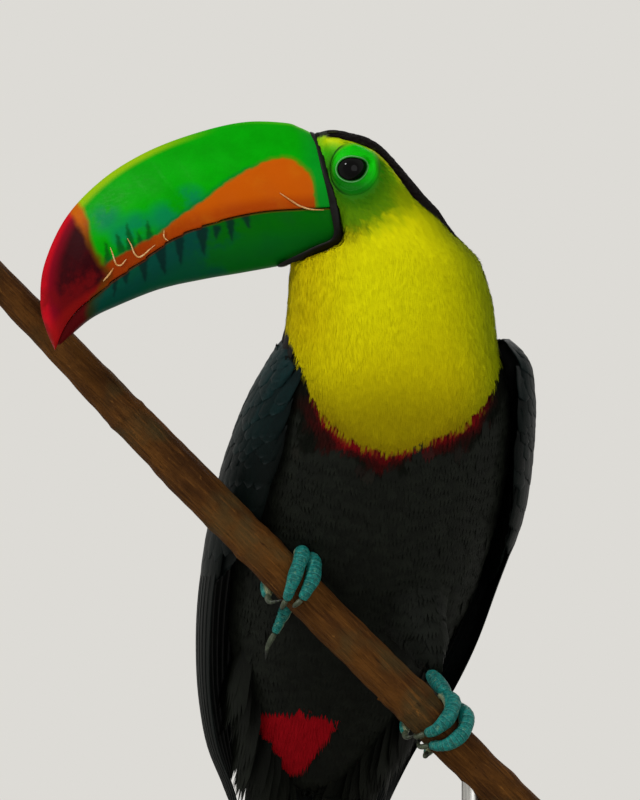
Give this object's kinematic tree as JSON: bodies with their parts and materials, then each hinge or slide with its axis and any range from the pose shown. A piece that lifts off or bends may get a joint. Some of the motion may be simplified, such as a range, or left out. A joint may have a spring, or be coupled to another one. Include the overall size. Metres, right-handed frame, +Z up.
{
  "type": "toucan figure",
  "caption": "Life-size keel-billed toucan gripping a short length of sloping branch, on a flat base with one rod.",
  "frame": {"origin": "middle of the underside of the stand's base, on the floor", "axes": "+Z up, -Y towards the viewer and the bird's front, -X the way the bill points"},
  "size_m": [0.2581, 0.1831, 0.416],
  "materials": {
    "plumage": "soft black feathers, with yellow bib, red band, red and white tail coverts",
    "face_skin": "matte bare skin, green round the eye",
    "horn": "polished horn, green with orange, teal and red",
    "eye": "wet gloss",
    "foot_skin": "dry scales",
    "claw": "satin horn",
    "perch_wood": "smooth bark",
    "stand_wood": "dark satin stain",
    "stand_steel": "brushed"
  },
  "bodies": {
    "root": {"throat_bib": "plumage", "nape": "plumage", "breast": "plumage", "belly": "plumage", "undertail_coverts": "plumage", "uppertail_coverts": "plumage", "wing_right_coverts": "plumage", "wing_right_flight": "plumage", "wing_left_coverts": "plumage", "wing_left_flight": "plumage", "tail": "plumage", "thigh_left": "plumage", "head": "face_skin", "bill_upper": "horn", "bill_lower": "horn", "bill_rim": "horn", "eye_left": "eye", "eye_right": "eye", "shin_right": "foot_skin", "shin_left": "foot_skin", "toe_front_inner_right": "foot_skin", "toe_front_outer_right": "foot_skin", "toe_back_inner_right": "foot_skin", "toe_back_outer_right": "foot_skin", "toe_front_inner_left": "foot_skin", "toe_front_outer_left": "foot_skin", "toe_back_inner_left": "foot_skin", "toe_back_outer_left": "foot_skin", "claw_front_inner_right": "claw", "claw_front_outer_right": "claw", "claw_back_inner_right": "claw", "claw_back_outer_right": "claw", "claw_front_inner_left": "claw", "claw_front_outer_left": "claw", "claw_back_inner_left": "claw", "claw_back_outer_left": "claw", "perch_branch": "perch_wood", "stand_base": "stand_wood", "stand_rod": "stand_steel"}
  },
  "joints": []
}
